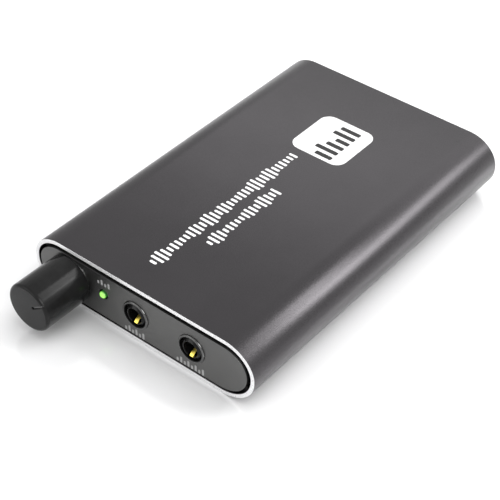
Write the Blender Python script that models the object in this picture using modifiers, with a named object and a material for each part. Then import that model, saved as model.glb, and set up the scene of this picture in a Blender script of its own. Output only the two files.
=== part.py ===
"""Portable headphone amplifier: an extruded aluminium sleeve with a front and a rear panel, a volume
control that also switches the power, two 3.5 mm jacks and a rechargeable battery on one circuit board.

Frame: +X across the front, +Y from the front panel to the rear panel, +Z up. The case rests on z = 0
with its middle over the origin. Lengths are in metres.
"""

import math

import bmesh
import bpy
from mathutils import Matrix, Vector

MM = 0.001
GAP = 0.3 * MM                      # clearance between touching pieces

# Case
CASE_WIDTH = 60.0 * MM
CASE_LENGTH = 88.7 * MM
CASE_HEIGHT = 15.0 * MM
WALL = 1.0 * MM
TOP_CORNER = (7.7 * MM, 6.9 * MM)   # quarter-ellipse half axes, across and up
BOTTOM_CORNER = (8.8 * MM, 7.9 * MM)
CORNER_STEPS = 9
CASE_EDGE_BEVEL = 0.12 * MM

# Panels, set into the two ends of the sleeve
PANEL_RECESS = 0.1 * MM
PANEL_THICKNESS = 1.8 * MM
PANEL_INSET = 1.75 * MM
PANEL_FACE = CASE_LENGTH / 2 - PANEL_RECESS
PANEL_BACK = PANEL_FACE - PANEL_THICKNESS
RAIL_END = PANEL_BACK - GAP

# Circuit board and the rails that hold it
BOARD_TOP = 4.7 * MM
BOARD_THICKNESS = 1.2 * MM
BOARD_HALF_WIDTH = 26.0 * MM
BOARD_END = PANEL_BACK - 1.0 * MM
BOARD_NOTCH_MARGIN = 0.6 * MM        # round the volume control
BOARD_FIXING = (22.6 * MM, 10.0 * MM, 1.1 * MM)
RAIL_HEIGHT = 0.9 * MM
RAIL_INNER = 24.8 * MM
LOW_RAIL_OUTER = 27.0 * MM          # both rails end inside the sleeve's wall
HIGH_RAIL_OUTER = 28.8 * MM
SEAT = BOARD_TOP + GAP              # lowest height of what stands on the board

# Screw ports and rear screws
PORT_X = 26.2 * MM
PORT_Z = 9.6 * MM
PORT_RADIUS = 1.8 * MM
PORT_BORE = 1.1 * MM
PORT_WEB_INNER = PORT_X + PORT_RADIUS - 0.5 * MM
PORT_WEB_OUTER = 29.1 * MM
PORT_WEB_HALF = 0.7 * MM
SCREW_RADIUS = 0.8 * MM
SCREW_POINT_RADIUS = 0.3 * MM
SCREW_HEAD_RADIUS = 1.8 * MM
SCREW_HEAD_HEIGHT = 1.1 * MM
SCREW_LENGTH = 6.0 * MM
SCREW_HOLE = SCREW_RADIUS + 0.4 * MM
DRIVE_REACH = 1.0 * MM
DRIVE_HALF_WIDTH = 0.17 * MM
DRIVE_FLOOR = 0.55 * MM              # above the head's seat

# Controls on the front panel
AXIS_Z = 7.65 * MM
KNOB_X = -19.2 * MM
KNOB_RADIUS = 5.7 * MM
KNOB_FRONT = 57.3 * MM
KNOB_REAR = 44.9 * MM
KNOB_EDGE = 0.6 * MM
KNOB_RECESS_RADIUS = 5.1 * MM
KNOB_RECESS_END = 47.0 * MM
KNOB_BORE_RADIUS = 3.3 * MM
KNOB_BORE_END = 55.0 * MM
POINTER_ANGLE = math.radians(34.0)  # above the horizontal, towards the jacks
POINTER_INNER = 1.6 * MM
POINTER_WIDTH = 0.6 * MM
POINTER_DEPTH = 0.35 * MM
POT_HALF = 4.7 * MM
POT_PLATE = 0.8 * MM
POT_DEPTH = 5.2 * MM
SWITCH_DEPTH = 3.5 * MM
WIPER_RADIUS = 3.7 * MM
WIPER_THICKNESS = 0.5 * MM
WIPER_SETBACK = 0.9 * MM            # behind the front of the potentiometer's body
WIPER_POCKET_RADIUS = 4.2 * MM
WIPER_POCKET_DEPTH = 2.6 * MM
TERMINAL_HALF_WIDTH = 3.7 * MM
TERMINAL_SETBACK = 0.9 * MM
TERMINAL_DEPTH = 1.3 * MM
TERMINAL_HEIGHT = 1.2 * MM
WASHER_RADIUS = 4.9 * MM
WASHER_THICKNESS = 0.4 * MM
NUT_CORNER_RADIUS = 4.68 * MM
NUT_THICKNESS = 1.5 * MM
BUSHING_RADIUS = 3.0 * MM
BUSHING_BORE = 2.2 * MM
BUSHING_END = 46.7 * MM
SHAFT_RADIUS = 1.9 * MM
SHAFT_TIP_RADIUS = 3.0 * MM
SHAFT_TIP_END = 54.6 * MM
LED_X = -9.95 * MM
LED_Z = 8.1 * MM
LED_RADIUS = 0.95 * MM
LED_HOLE = 1.25 * MM
LED_STAND = 1.0 * MM                # how far the dome stands out of the front panel
LED_FLANGE_RADIUS = 1.7 * MM
LED_FLANGE_THICKNESS = 0.6 * MM
LED_HOLDER_HALF = 1.8 * MM
LED_HOLDER_DEPTH = 2.6 * MM
LED_LEG_OFFSET = 0.9 * MM
LED_LEG_HOLE = 0.55 * MM
LED_LEG_RADIUS = 0.2 * MM
JACK_X = {"input": -0.95 * MM, "output": 14.1 * MM}
JACK_HOLE = 2.9 * MM
COLLAR_RADIUS = 3.45 * MM            # raised round each jack's hole
COLLAR_STAND = 0.3 * MM
NOSE_RADIUS = 2.6 * MM
NOSE_STAND = 0.7 * MM               # how far a jack stands out of the front panel
JACK_BORE = 1.85 * MM
GROOVE_DEPTH = 2.25 * MM            # below the axis, for the spring in the bottom of the bore
GROOVE_LENGTH = 5.0 * MM
JACK_HALF_WIDTH = 3.2 * MM
JACK_LENGTH = 10.8 * MM
JACK_REAR_WALL = 0.8 * MM
TIP_SLOT_START = 5.6 * MM           # ahead of the jack's rear
RING_SLOT_START = 1.6 * MM          # behind the jack's front
SLOT_LENGTH = 3.9 * MM
SLOT_REACH = 4.0 * MM
CONTACT_THICKNESS = 0.25 * MM
CONTACT_WIDTH = 1.0 * MM
SPRING_PATH = ((3.0, 0.5), (2.0, 1.0), (1.35, 1.8), (1.6, 2.6), (2.3, 3.4))      # mm out and along
SLEEVE_SPRING_PATH = ((1.95, 0.35), (1.6, 1.0), (1.15, 1.7), (0.8, 2.3), (0.85, 2.8), (1.4, 3.8))

# Rear panel fittings
USB_X = 8.0 * MM
USB_WIDTH = 7.6 * MM
USB_HEIGHT = 2.7 * MM
USB_LENGTH = 5.6 * MM
USB_SHELL = 0.35 * MM
USB_MARGIN = 0.4 * MM
TONGUE_HALF_WIDTH = 1.9 * MM
TONGUE_LOW = 1.45 * MM              # above the socket's underside
TONGUE_HIGH = 2.0 * MM
TONGUE_SETBACK = 1.0 * MM
GAIN_X = -9.7 * MM
GAIN_TRAVEL = 2.0 * MM
GAIN_STEM = 1.5 * MM
GAIN_Z = 6.85 * MM
GAIN_BODY_HALF = 4.3 * MM
GAIN_BODY_DEPTH = 4.2 * MM
GAIN_BODY_HEIGHT = 3.7 * MM
GAIN_BODY_SETBACK = 0.6 * MM
GAIN_LIP = 0.5 * MM
GAIN_CARRIAGE_HALF = 1.4 * MM
GAIN_CARRIAGE_DEPTH = 1.5 * MM
GAIN_TRACK_DEPTH = 2.2 * MM
GAIN_STEM_STAND = 0.8 * MM          # out of the case's end
LIGHT_X = 18.0 * MM
LIGHT_Z = 6.6 * MM
LIGHT_RADIUS = 0.8 * MM
LIGHT_HOLE = 1.15 * MM
LIGHT_PIPE_START = 40.6 * MM
CHARGE_LED_LOW = (-0.8 * MM, 38.6 * MM)
CHARGE_LED_HIGH = (0.8 * MM, 40.2 * MM)
CHARGE_LED_TOP = 7.4 * MM

# Battery
BATTERY_LOW = (-20.0 * MM, -10.0 * MM, 6.4 * MM)
BATTERY_HIGH = (14.0 * MM, 36.0 * MM, 11.6 * MM)
PAD_MARGIN = 2.0 * MM
PROTECTION_BOARD_LOW = (-14.0 * MM, 7.0 * MM)      # across and up
PROTECTION_BOARD_HIGH = (10.5 * MM, 11.0 * MM)
PROTECTION_BOARD_THICKNESS = 1.6 * MM
HEADER_LOW = (16.8 * MM, -10.0 * MM, SEAT)
HEADER_HIGH = (23.4 * MM, -4.0 * MM, 9.2 * MM)
HEADER_WALL = 0.6 * MM
HEADER_BACK = 1.0 * MM
PLUG_LOW = (17.8 * MM, -12.6 * MM, 6.0 * MM)
PLUG_HIGH = (22.4 * MM, -5.6 * MM, 8.2 * MM)
LEAD_RADIUS = 0.5 * MM

# Board components, in millimetres: middle x and y, width, depth, height, legs on a side
CHIPS = {
    "headphone_driver_chip": (-2.0, -25.0, 5.0, 4.0, 1.5, 4),
    "gain_stage_chip": (6.5, -25.0, 5.0, 4.0, 1.5, 4),
    "battery_charger_chip": (19.5, 28.0, 5.0, 4.0, 1.5, 4),
    "voltage_converter_chip": (14.0, -25.0, 3.0, 3.0, 1.0, 3),
}
CHIP_FOOT = 0.25 * MM
CHIP_LEG_SHARE = 0.44               # of the pitch
CHIP_LEG_REACH = 1.0 * MM
CHIP_LEG_ROOT = 0.2 * MM
CHIP_LEG_LOW = 0.1 * MM
CHIP_LEG_HIGH = 0.5 * MM
CAPACITORS = ((-19.6, -25.0), (-12.6, -25.0), (-19.6, -18.0), (-12.6, -18.0))     # mm
CAPACITOR_RADIUS = 3.1 * MM
CAPACITOR_HEIGHT = 5.6 * MM
CAPACITOR_WAIST = 0.3 * MM
INDUCTOR_LOW = (17.6 * MM, -27.6 * MM, SEAT)
INDUCTOR_HIGH = (22.8 * MM, -22.4 * MM, SEAT + 2.8 * MM)
OVERCUT = 1.0 * MM                  # how far a cutter runs past what it cuts

FRONT_FACING = Matrix.Rotation(math.radians(90.0), 4, "X")   # local +Z becomes -Y
REAR_FACING = Matrix.Rotation(math.radians(-90.0), 4, "X")   # local +Z becomes +Y

FINISHES = {
    "anodised_case": ((0.085, 0.080, 0.085, 1.0), 0.42, 0.85),
    "anodised_panel": ((0.12, 0.12, 0.118, 1.0), 0.45, 0.8),
    "black_knob": ((0.02, 0.02, 0.02, 1.0), 0.3, 0.0),
    "black_plastic": ((0.012, 0.012, 0.012, 1.0), 0.45, 0.0),
    "green_lens": ((0.25, 1.0, 0.2, 1.0), 0.15, 0.0),
    "clear_lens": ((0.9, 0.9, 0.9, 1.0), 0.1, 0.0),
    "gold_contact": ((0.83, 0.6, 0.2, 1.0), 0.25, 1.0),
    "bright_metal": ((0.7, 0.7, 0.7, 1.0), 0.3, 1.0),
    "green_board": ((0.02, 0.18, 0.06, 1.0), 0.4, 0.0),
    "battery_foil": ((0.6, 0.62, 0.64, 1.0), 0.35, 0.7),
    "grey_foam": ((0.15, 0.15, 0.16, 1.0), 0.9, 0.0),
    "red_insulation": ((0.6, 0.03, 0.02, 1.0), 0.45, 0.0),
    "black_insulation": ((0.02, 0.02, 0.02, 1.0), 0.45, 0.0),
    "white_nylon": ((0.75, 0.74, 0.7, 1.0), 0.5, 0.0),
    "ferrite": ((0.06, 0.06, 0.065, 1.0), 0.7, 0.0),
    "screw_steel": ((0.08, 0.08, 0.085, 1.0), 0.35, 0.9),
}


def clear_scene():
    for leftover in list(bpy.data.objects):
        bpy.data.objects.remove(leftover, do_unlink=True)


def new_collection(name):
    collection = bpy.data.collections.new(name)
    bpy.context.scene.collection.children.link(collection)
    return collection


def make_finish(name):
    colour, roughness, metallic = FINISHES[name]
    finish = bpy.data.materials.new(name)
    finish.use_nodes = True
    shader = finish.node_tree.nodes["Principled BSDF"]
    shader.inputs["Base Color"].default_value = colour
    shader.inputs["Roughness"].default_value = roughness
    shader.inputs["Metallic"].default_value = metallic
    return finish


clear_scene()
parts = new_collection("headphone_amplifier")
cutters = new_collection("cutters")
finishes = {name: make_finish(name) for name in FINISHES}


# Helpers that add one object each

def add_object(name, mesh, finish, matrix=None):
    """Link a mesh object to the parts, or to the cutters when it has no finish."""
    piece = bpy.data.objects.new(name, mesh)
    if finish:
        mesh.materials.clear()
        mesh.materials.append(finishes[finish])
        parts.objects.link(piece)
    else:
        piece.hide_render = True
        piece.display_type = "WIRE"
        cutters.objects.link(piece)
    if matrix:
        piece.matrix_world = matrix
    return piece


def mesh_from(name, shape):
    """Turn a finished bmesh into a mesh with outward normals."""
    bmesh.ops.recalc_face_normals(shape, faces=shape.faces)
    mesh = bpy.data.meshes.new(name)
    shape.to_mesh(mesh)
    shape.free()
    return mesh


def box_into(shape, low, high):
    middle = (Vector(low) + Vector(high)) / 2
    size = Vector(high) - Vector(low)
    placing = Matrix.Translation(middle) @ Matrix.Diagonal((*size, 1.0))
    bmesh.ops.create_cube(shape, size=1.0, matrix=placing)


def add_boxes(name, corners, finish=None):
    """One object holding a box for each (low, high) pair."""
    shape = bmesh.new()
    for low, high in corners:
        box_into(shape, low, high)
    return add_object(name, mesh_from(name, shape), finish)


def add_box(name, low, high, finish=None, bevel=0.0):
    piece = add_boxes(name, [(low, high)], finish)
    if bevel:
        add_bevel(piece, bevel)
    return piece


def add_bevel(piece, width, segments=1, angle=50.0):
    bevel = piece.modifiers.new("edges", "BEVEL")
    bevel.width = width
    bevel.segments = segments
    bevel.limit_method = "ANGLE"
    bevel.angle_limit = math.radians(angle)
    return bevel


def along_y(x, z, y=0.0, facing=FRONT_FACING):
    """Placing for a piece made about local Z whose axis lies along Y."""
    return Matrix.Translation((x, y, z)) @ facing


def add_rod(name, x, z, radius, y_start, y_end, finish=None, segments=24):
    """A round bar along Y."""
    shape = bmesh.new()
    placing = along_y(x, z, (y_start + y_end) / 2)
    bmesh.ops.create_cone(
        shape, cap_ends=True, segments=segments, radius1=radius, radius2=radius,
        depth=abs(y_end - y_start), matrix=placing)
    return add_object(name, mesh_from(name, shape), finish)


def add_turned(name, profile, placing, finish, segments=32):
    """A solid of revolution about local Z; the profile's (radius, height) points run down its outside."""
    mesh = bpy.data.meshes.new(name)
    vertices = [(radius, 0.0, height) for radius, height in profile]
    closed = profile[0][0] > 0
    edges = [(i, i + 1) for i in range(len(vertices) - 1)]
    if closed:
        edges.append((len(vertices) - 1, 0))
    mesh.from_pydata(vertices, edges, [])
    piece = add_object(name, mesh, finish, placing)
    screw = piece.modifiers.new("turn", "SCREW")
    screw.steps = segments
    screw.render_steps = segments
    screw.use_merge_vertices = True
    screw.merge_threshold = 0.00001
    return piece


def circle(x, y, radius, steps=24):
    turns = [2 * math.pi * i / steps for i in range(steps)]
    return [(x + radius * math.cos(turn), y + radius * math.sin(turn)) for turn in turns]


def rectangle(x_low, y_low, x_high, y_high):
    return [(x_low, y_low), (x_high, y_low), (x_high, y_high), (x_low, y_high)]


def add_plate(name, loops, thickness, placing, finish=None):
    """A flat plate about local Z = 0: the first loop is its outline and the others are its holes."""
    outline = bpy.data.curves.new(name + "_outline", "CURVE")
    outline.dimensions = "2D"
    outline.fill_mode = "BOTH"
    outline.extrude = thickness / 2
    for loop in loops:
        spline = outline.splines.new("POLY")
        spline.points.add(len(loop) - 1)
        for point, (x, y) in zip(spline.points, loop):
            point.co = (x, y, 0.0, 1.0)
        spline.use_cyclic_u = True
    drawn = bpy.data.objects.new(name + "_outline", outline)
    parts.objects.link(drawn)
    mesh = curve_to_mesh(drawn, name)
    return add_object(name, mesh, finish, placing)


def curve_to_mesh(drawn, name):
    """Replace a curve object with the welded mesh of its shape."""
    bpy.context.view_layer.update()
    evaluated = drawn.evaluated_get(bpy.context.evaluated_depsgraph_get())
    loose = bpy.data.meshes.new_from_object(evaluated)
    bpy.data.objects.remove(drawn, do_unlink=True)
    shape = bmesh.new()
    shape.from_mesh(loose)
    bpy.data.meshes.remove(loose)
    bmesh.ops.remove_doubles(shape, verts=shape.verts, dist=0.000001)
    return mesh_from(name, shape)


def add_wire(name, route, radius, finish, steps=6):
    """A round wire through the route's points, smoothed between them."""
    curve = bpy.data.curves.new(name + "_path", "CURVE")
    curve.dimensions = "3D"
    curve.bevel_depth = radius
    curve.bevel_resolution = 2
    curve.use_fill_caps = True
    smooth = smooth_route(route, steps)
    spline = curve.splines.new("POLY")
    spline.points.add(len(smooth) - 1)
    for point, place in zip(spline.points, smooth):
        point.co = (*place, 1.0)
    drawn = bpy.data.objects.new(name + "_path", curve)
    parts.objects.link(drawn)
    return add_object(name, curve_to_mesh(drawn, name), finish)


def smooth_route(route, steps):
    """Points of a Catmull-Rom curve through the route."""
    knots = [Vector(place) for place in route]
    knots = [2 * knots[0] - knots[1]] + knots + [2 * knots[-1] - knots[-2]]
    smooth = []
    for before, start, end, after in zip(knots, knots[1:], knots[2:], knots[3:]):
        for step in range(steps):
            t = step / steps
            smooth.append(0.5 * (2 * start + (end - before) * t
                                 + (2 * before - 5 * start + 4 * end - after) * t ** 2
                                 + (3 * start - before - 3 * end + after) * t ** 3))
    smooth.append(knots[-2])
    return smooth


def add_strip(name, path, across, finish):
    """A bent strip of spring metal: the path's points, widened along the direction across."""
    shape = bmesh.new()
    half = Vector(across) * CONTACT_WIDTH / 2
    rows = [[shape.verts.new(Vector(place) + side * half) for side in (-1, 1)] for place in path]
    for (a, b), (c, d) in zip(rows, rows[1:]):
        shape.faces.new((a, b, d, c))
    piece = add_object(name, mesh_from(name, shape), finish)
    solid = piece.modifiers.new("thickness", "SOLIDIFY")
    solid.thickness = CONTACT_THICKNESS
    solid.offset = 0.0
    return piece


def combine(piece, tool, operation="DIFFERENCE"):
    boolean = piece.modifiers.new(tool.name, "BOOLEAN")
    boolean.operation = operation
    boolean.solver = "EXACT"
    boolean.object = tool
    return boolean


def smooth_shading(piece, angle=35.0):
    piece.data.shade_smooth()
    piece.data.set_sharp_from_angle(angle=math.radians(angle))


# Case

def case_outline(inset=0.0):
    """The case's cross-section as (across, up) points, moved inwards by the inset."""
    outline = []
    for side, level, start in ((1, 1, 0), (-1, 1, 90), (-1, -1, 180), (1, -1, 270)):
        across, rise = TOP_CORNER if level > 0 else BOTTOM_CORNER
        centre_x = side * (CASE_WIDTH / 2 - across)
        centre_z = CASE_HEIGHT - rise if level > 0 else rise
        for step in range(CORNER_STEPS + 1):
            turn = math.radians(start + 90 * step / CORNER_STEPS)
            outline.append((centre_x + (across - inset) * math.cos(turn),
                            centre_z + (rise - inset) * math.sin(turn)))
    return outline


def add_case_sleeve():
    sleeve = add_plate(
        "case_sleeve", [case_outline(), case_outline(WALL)], CASE_LENGTH, FRONT_FACING, "anodised_case")
    add_bevel(sleeve, CASE_EDGE_BEVEL, angle=70.0)
    board_bottom = BOARD_TOP - BOARD_THICKNESS
    rails = []
    for low_z, reach in ((board_bottom - GAP - RAIL_HEIGHT, LOW_RAIL_OUTER), (SEAT, HIGH_RAIL_OUTER)):
        for side in (-1, 1):
            edges = sorted((side * RAIL_INNER, side * reach))
            rails.append(((edges[0], -RAIL_END, low_z), (edges[1], RAIL_END, low_z + RAIL_HEIGHT)))
    combine(sleeve, add_boxes("board_rails", rails), "UNION")
    for side in (-1, 1):
        tag = "left" if side < 0 else "right"
        edges = sorted((side * PORT_WEB_INNER, side * PORT_WEB_OUTER))
        web = add_box("port_web_" + tag, (edges[0], -RAIL_END, PORT_Z - PORT_WEB_HALF),
                      (edges[1], RAIL_END, PORT_Z + PORT_WEB_HALF))
        port = add_rod("screw_port_" + tag, side * PORT_X, PORT_Z, PORT_RADIUS, -RAIL_END, RAIL_END)
        bore = add_rod("port_bore_" + tag, side * PORT_X, PORT_Z, PORT_BORE,
                       -CASE_LENGTH, CASE_LENGTH, segments=16)
        combine(sleeve, web, "UNION")
        combine(sleeve, port, "UNION")
        combine(sleeve, bore)


def add_panels():
    holes = [circle(KNOB_X, AXIS_Z, BUSHING_RADIUS + GAP), circle(LED_X, LED_Z, LED_HOLE, 20)]
    holes += [circle(x, AXIS_Z, JACK_HOLE, 32) for x in JACK_X.values()]
    front = add_plate("front_panel", [case_outline(PANEL_INSET)] + holes, PANEL_THICKNESS,
                      along_y(0.0, 0.0, -(PANEL_FACE + PANEL_BACK) / 2), "anodised_panel")
    for tag, x in JACK_X.items():
        ring = [circle(x, AXIS_Z, COLLAR_RADIUS, 32), circle(x, AXIS_Z, JACK_HOLE, 32)]
        collar = add_plate(tag + "_jack_collar", ring, 2 * COLLAR_STAND, along_y(0.0, 0.0, -PANEL_FACE))
        combine(front, collar, "UNION")
    rear_holes = [circle(side * PORT_X, PORT_Z, SCREW_HOLE, 16) for side in (-1, 1)]
    rear_holes.append(circle(LIGHT_X, LIGHT_Z, LIGHT_HOLE, 16))
    rear_holes.append(rectangle(USB_X - USB_WIDTH / 2 - USB_MARGIN, SEAT - USB_MARGIN,
                                USB_X + USB_WIDTH / 2 + USB_MARGIN, SEAT + USB_HEIGHT + USB_MARGIN))
    slot_half = (GAIN_STEM + GAIN_TRAVEL) / 2 + 0.45 * MM
    slot_rise = GAIN_STEM / 2 + 0.6 * MM
    rear_holes.append(rectangle(GAIN_X - slot_half, GAIN_Z - slot_rise,
                                GAIN_X + slot_half, GAIN_Z + slot_rise))
    add_plate("rear_panel", [case_outline(PANEL_INSET)] + rear_holes, PANEL_THICKNESS,
              along_y(0.0, 0.0, (PANEL_FACE + PANEL_BACK) / 2), "anodised_panel")


def add_rear_screws():
    head_seat = PANEL_FACE + GAP
    for tag, side in (("left", -1), ("right", 1)):
        profile = [(0.0, SCREW_HEAD_HEIGHT), (SCREW_HEAD_RADIUS * 0.6, SCREW_HEAD_HEIGHT),
                   (SCREW_HEAD_RADIUS * 0.9, SCREW_HEAD_HEIGHT * 0.7),
                   (SCREW_HEAD_RADIUS, SCREW_HEAD_HEIGHT * 0.25), (SCREW_HEAD_RADIUS, 0.0),
                   (SCREW_RADIUS, 0.0), (SCREW_RADIUS, SCREW_RADIUS - SCREW_POINT_RADIUS - SCREW_LENGTH),
                   (SCREW_POINT_RADIUS, -SCREW_LENGTH), (0.0, -SCREW_LENGTH)]
        screw = add_turned("rear_screw_" + tag, profile,
                           along_y(side * PORT_X, PORT_Z, head_seat, REAR_FACING), "screw_steel", 20)
        for direction, half_x, half_z in (("across", DRIVE_REACH, DRIVE_HALF_WIDTH),
                                          ("upright", DRIVE_HALF_WIDTH, DRIVE_REACH)):
            x = side * PORT_X
            slot = add_box("screw_slot_{}_{}".format(direction, tag),
                           (x - half_x, head_seat + DRIVE_FLOOR, PORT_Z - half_z),
                           (x + half_x, head_seat + SCREW_HEAD_HEIGHT + OVERCUT, PORT_Z + half_z))
            combine(screw, slot)


# Circuit board

def add_main_board():
    notch_x = KNOB_X + POT_HALF + BOARD_NOTCH_MARGIN
    notch_y = -RAIL_END + POT_PLATE + GAP + POT_DEPTH + GAP + SWITCH_DEPTH + BOARD_NOTCH_MARGIN
    outline = [(notch_x, -BOARD_END), (BOARD_HALF_WIDTH, -BOARD_END), (BOARD_HALF_WIDTH, BOARD_END),
               (-BOARD_HALF_WIDTH, BOARD_END), (-BOARD_HALF_WIDTH, notch_y), (notch_x, notch_y)]
    placing = Matrix.Translation((0.0, 0.0, BOARD_TOP - BOARD_THICKNESS / 2))
    add_plate("main_board", [outline, circle(*BOARD_FIXING, 16)], BOARD_THICKNESS, placing, "green_board")


# Volume control: potentiometer with a power switch behind it

def add_volume_control():
    plate_front = -RAIL_END
    plate_rear = plate_front + POT_PLATE
    body_front = plate_rear + GAP
    body_rear = body_front + POT_DEPTH
    switch_front = body_rear + GAP
    switch_rear = switch_front + SWITCH_DEPTH

    def square(name, y_front, y_rear, finish):
        return add_box(name, (KNOB_X - POT_HALF, y_front, AXIS_Z - POT_HALF),
                       (KNOB_X + POT_HALF, y_rear, AXIS_Z + POT_HALF), finish)

    front = square("volume_pot_front", plate_front, plate_rear, "bright_metal")
    bushing = add_rod("bushing_tube", KNOB_X, AXIS_Z, BUSHING_RADIUS, -BUSHING_END, plate_rear - 0.2 * MM)
    bore = add_rod("bushing_bore", KNOB_X, AXIS_Z, BUSHING_BORE, -CASE_LENGTH, 0.0)
    combine(front, bushing, "UNION")
    combine(front, bore)

    body = square("volume_pot_body", body_front, body_rear, "black_plastic")
    pocket = add_rod("wiper_pocket", KNOB_X, AXIS_Z, WIPER_POCKET_RADIUS, body_front - OVERCUT,
                     body_front + WIPER_POCKET_DEPTH)
    combine(body, pocket)
    switch = square("power_switch_body", switch_front, switch_rear, "bright_metal")
    add_bevel(switch, 0.4 * MM)
    strip_front = switch_rear + TERMINAL_SETBACK
    add_box("volume_terminal_strip", (KNOB_X - TERMINAL_HALF_WIDTH, strip_front, SEAT),
            (KNOB_X + TERMINAL_HALF_WIDTH, strip_front + TERMINAL_DEPTH, SEAT + TERMINAL_HEIGHT),
            "black_plastic", 0.15 * MM)

    inner = BUSHING_RADIUS + GAP
    half = WASHER_THICKNESS / 2
    washer_middle = -(PANEL_FACE + GAP + half)
    add_turned("volume_pot_washer", [(WASHER_RADIUS, half), (WASHER_RADIUS, -half), (inner, -half),
                                     (inner, half)],
               along_y(KNOB_X, AXIS_Z, washer_middle), "bright_metal", 28)
    nut_middle = washer_middle - half - GAP - NUT_THICKNESS / 2
    add_plate("volume_pot_nut", [circle(0.0, 0.0, NUT_CORNER_RADIUS, 6), circle(0.0, 0.0, inner)],
              NUT_THICKNESS, along_y(KNOB_X, AXIS_Z, nut_middle), "bright_metal")


def add_volume_rotor():
    """The turning pieces: shaft, wiper and knob, each with its origin on the shaft's axis."""
    wiper_y = -RAIL_END + POT_PLATE + GAP + WIPER_SETBACK
    shaft_inner = wiper_y + 1.0 * MM
    placing = along_y(KNOB_X, AXIS_Z, -PANEL_FACE)
    tip_start = BUSHING_END + 0.6 * MM

    def ahead(distance):
        """Height along the axis, measured forwards from the front panel's face."""
        return distance - PANEL_FACE

    shaft = [(0.0, ahead(SHAFT_TIP_END)), (SHAFT_TIP_RADIUS - 0.4 * MM, ahead(SHAFT_TIP_END)),
             (SHAFT_TIP_RADIUS, ahead(SHAFT_TIP_END - 0.4 * MM)), (SHAFT_TIP_RADIUS, ahead(tip_start)),
             (SHAFT_RADIUS, ahead(tip_start)), (SHAFT_RADIUS, ahead(-shaft_inner)),
             (0.0, ahead(-shaft_inner))]
    add_turned("volume_shaft", shaft, placing, "bright_metal", 24)

    half = WIPER_THICKNESS / 2
    wiper = [(WIPER_RADIUS, half), (WIPER_RADIUS, -half), (SHAFT_RADIUS + GAP, -half),
             (SHAFT_RADIUS + GAP, half)]
    add_turned("volume_wiper", wiper, along_y(KNOB_X, AXIS_Z, wiper_y), "gold_contact", 28)

    edge = [(KNOB_RADIUS - KNOB_EDGE + KNOB_EDGE * math.sin(turn),
             ahead(KNOB_FRONT) - KNOB_EDGE + KNOB_EDGE * math.cos(turn))
            for turn in (math.radians(90 * step / 3) for step in range(4))]
    profile = [(0.0, ahead(KNOB_FRONT))] + edge
    profile += [(KNOB_RADIUS, ahead(KNOB_REAR)), (KNOB_RECESS_RADIUS, ahead(KNOB_REAR)),
                (KNOB_RECESS_RADIUS, ahead(KNOB_RECESS_END)), (KNOB_BORE_RADIUS, ahead(KNOB_RECESS_END)),
                (KNOB_BORE_RADIUS, ahead(KNOB_BORE_END)), (0.0, ahead(KNOB_BORE_END))]
    knob = add_turned("volume_knob", profile, placing, "black_knob", 48)
    smooth_shading(knob)
    groove = add_box("pointer_groove", (POINTER_INNER, -POINTER_WIDTH / 2, ahead(KNOB_FRONT) - POINTER_DEPTH),
                     (KNOB_RADIUS * 2, POINTER_WIDTH / 2, ahead(KNOB_FRONT) + OVERCUT))
    groove.matrix_world = placing @ Matrix.Rotation(POINTER_ANGLE, 4, "Z")
    combine(knob, groove)


# Power light

def add_power_light():
    lens_front = PANEL_FACE + LED_STAND
    flange_front = PANEL_BACK - GAP
    flange_rear = flange_front - LED_FLANGE_THICKNESS
    profile = [(LED_RADIUS * math.sin(turn), lens_front - LED_RADIUS * 0.7 * (1 - math.cos(turn)))
               for turn in (math.radians(90 * step / 5) for step in range(6))]
    profile += [(LED_RADIUS, flange_front), (LED_FLANGE_RADIUS, flange_front),
                (LED_FLANGE_RADIUS, flange_rear), (0.0, flange_rear)]
    add_turned("power_led_lens", profile, along_y(LED_X, LED_Z), "green_lens", 24)

    holder_front = -(flange_rear - GAP)
    holder_rear = holder_front + LED_HOLDER_DEPTH
    holder = add_box("power_led_holder", (LED_X - LED_HOLDER_HALF, holder_front, SEAT),
                     (LED_X + LED_HOLDER_HALF, holder_rear, LED_Z + LED_HOLDER_HALF), "black_plastic")
    for tag, side in (("left", -1), ("right", 1)):
        x = LED_X + side * LED_LEG_OFFSET
        hole = add_rod("led_leg_hole_" + tag, x, LED_Z, LED_LEG_HOLE, holder_front - OVERCUT,
                       holder_rear + OVERCUT, segments=12)
        combine(holder, hole)
        bend = holder_rear + 1.0 * MM
        route = [(x, holder_front + 0.2 * MM, LED_Z), (x, holder_rear - 0.4 * MM, LED_Z),
                 (x, bend, LED_Z - 0.9 * MM), (x, bend, SEAT)]
        add_wire("power_led_leg_" + tag, route, LED_LEG_RADIUS, "bright_metal", 4)


# Jacks

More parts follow.
